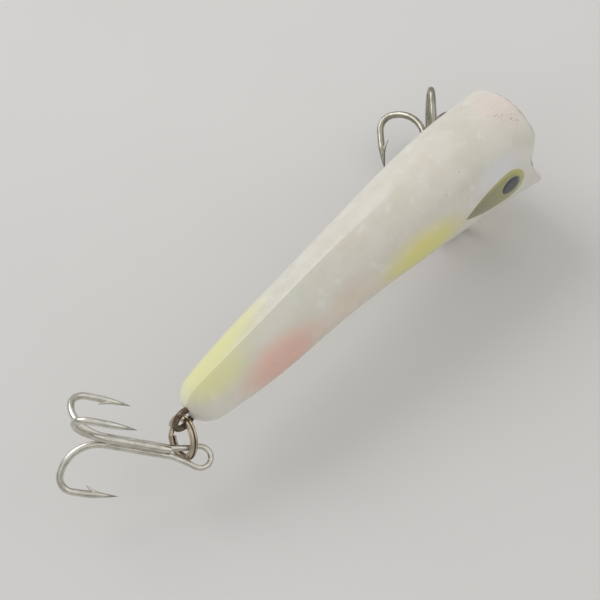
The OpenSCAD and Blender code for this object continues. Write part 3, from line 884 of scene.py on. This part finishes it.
def tabletop():
    """Matt, nearly plain, pale surface."""
    n = Nodes("tabletop")
    where = n.millimetres()
    cloud = n.noise(where, 0.01, 3.0)
    color = n.mix(n.ramp(cloud, 0.3, 0.7), linear(219, 218, 216), linear(215, 214, 212))
    n.set(Base_Color=color, Roughness=0.75, Normal=n.bump(n.noise(where, 1.5, 3.0), 0.03, 0.0002))
    n.shader.inputs["Specular IOR Level"].default_value = 0.25
    return n.material


pearl = pearl_paint()
foil = eye_foil()
pupil_black = pupil_gloss()
bright_hook = metal("hook_nickel", (220, 217, 207), (192, 187, 174), (112, 98, 82), 0.22, 0.75)
dull_hook = metal("hook_nickel_dull", (180, 177, 164), (142, 138, 124), (88, 78, 66), 0.26, 0.8)
ring_metal = metal("ring_steel", (206, 194, 174), (164, 148, 126), (70, 38, 22), 0.28, 0.95)
wire_metal = metal("hanger_wire", (182, 172, 154), (130, 116, 98), (74, 48, 32), 0.3, 0.9)
braze_metal = metal("braze", (200, 195, 182), (172, 164, 146), (112, 94, 70), 0.32, 0.5)
ball_metal = metal("ball_steel", (170, 170, 170), (140, 140, 142), (90, 84, 78), 0.25, 0.3, 0.6)

# ---- Pieces ----

half_shell("left_shell", 1, pearl, "left_body_half")
half_shell("right_shell", -1, pearl, "right_body_half")
for word, side in (("left", 1), ("right", -1)):
    patch(word + "_eye", teardrop, EYE_RISE, EYE_SEAT, side, foil, word + "_eye_plate")
    patch(word + "_pupil_lens", disc, LENS_RISE, LENS_SEAT, side, pupil_black, word + "_pupil",
          10)

hanger("tail_hanger_wire", Matrix.Translation(Vector(TAIL[0])), ANCHOR_X - TAIL[0][0],
       "tail_hanger", rust=0.6)
upward = Matrix.Rotation(math.radians(-90), 4, "Y")
hanger("belly_hanger_wire", Matrix.Translation(Vector(BELLY[0])) @ upward, BELLY_ANCHOR,
       "belly_hanger")
backward = Matrix.Rotation(math.pi, 4, "Z")
hanger("line_tie_wire", Matrix.Translation(TIE) @ backward, TIE_ANCHOR, "line_tie",
       EYE_R + 0.04, WIRE_R - 0.03)
split_ring("belly_ring_coil", BELLY, "belly_ring", "belly_split_ring")
split_ring("tail_ring_coil", TAIL, "tail_ring", "tail_split_ring")
treble("belly_treble", BELLY, dull_hook)
treble("tail_treble", TAIL, bright_hook)

# The weight and the rattle are plain balls, so their CAD solids stay.
for node in ("tail_weight", "rattle_balls"):
    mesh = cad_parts[node].data
    mesh.materials.clear()
    mesh.materials.append(ball_metal)


# ---- Floor, light and camera ----

def floor():
    """A pale table just under the lowest piece."""
    size = 3.0
    z = cad_box[0][2]
    corners = [(x * size, y * size, z) for x, y in ((-1, -1), (1, -1), (1, 1), (-1, 1))]
    mesh = bpy.data.meshes.new("floor")
    mesh.from_pydata(corners, [], [(0, 1, 2, 3)])
    mesh.materials.append(tabletop())
    table = bpy.data.objects.new("floor", mesh)
    bpy.context.scene.collection.objects.link(table)


def softbox(name, position, size, power, colour):
    """A round area light that faces the lure."""
    data = bpy.data.lights.new(name, "AREA")
    data.shape = "DISK"
    data.size = size
    data.energy = power
    data.color = colour
    lamp = bpy.data.objects.new(name, data)
    lamp.location = position
    centre = (cad_box[0] + cad_box[1]) / 2
    lamp.rotation_mode = "QUATERNION"
    lamp.rotation_quaternion = (centre - lamp.location).to_track_quat("-Z", "Y")
    bpy.context.scene.collection.objects.link(lamp)


def studio(strength):
    """Even light from all round; polished metal sees it fade from overhead to the walls."""
    world = bpy.data.worlds.new("studio")
    world.use_nodes = True
    tree = world.node_tree
    direction = tree.nodes.new("ShaderNodeTexCoord")
    height = tree.nodes.new("ShaderNodeSeparateXYZ")
    fade = tree.nodes.new("ShaderNodeMapRange")
    rays = tree.nodes.new("ShaderNodeLightPath")
    mix = tree.nodes.new("ShaderNodeMix")
    tree.links.new(direction.outputs["Generated"], height.inputs[0])
    tree.links.new(height.outputs[2], fade.inputs["Value"])
    for key, value in (("From Min", 0.0), ("From Max", 0.7), ("To Min", 0.3), ("To Max", 1.25)):
        fade.inputs[key].default_value = value
    mix.inputs[2].default_value = 1.0
    tree.links.new(rays.outputs["Is Glossy Ray"], mix.inputs["Factor"])
    tree.links.new(fade.outputs["Result"], mix.inputs[3])
    power = tree.nodes.new("ShaderNodeMath")
    power.operation = "MULTIPLY"
    power.inputs[1].default_value = strength
    tree.links.new(mix.outputs[0], power.inputs[0])
    background = tree.nodes["Background"]
    background.inputs["Color"].default_value = (1.0, 0.998, 0.992, 1)
    tree.links.new(power.outputs[0], background.inputs["Strength"])
    bpy.context.scene.world = world


def camera():
    """The picture's viewing angle: from above, behind and to the lure's right."""
    back = Vector((-0.35009, -0.47012, 0.81020))
    right = Vector((0.71118, -0.69633, -0.09674))
    up = back.cross(right)
    data = bpy.data.cameras.new("camera")
    data.sensor_width = 36
    data.lens = 149.6
    data.clip_start, data.clip_end = 0.01, 20
    cam = bpy.data.objects.new("camera", data)
    matrix = Matrix((right, up, back)).transposed().to_4x4()
    matrix.translation = Vector((-0.1888, -0.1918, 0.3325))
    cam.matrix_world = matrix
    bpy.context.scene.collection.objects.link(cam)
    bpy.context.scene.camera = cam


floor()
softbox("key", (-0.15, 0.75, 0.65), 0.8, 3.5, (1.0, 0.995, 0.985))
softbox("fill", (0.55, -0.75, 0.8), 0.9, 0.85, (0.985, 0.99, 1.0))
studio(0.65)
bpy.context.scene.view_settings.view_transform = "Standard"
camera()
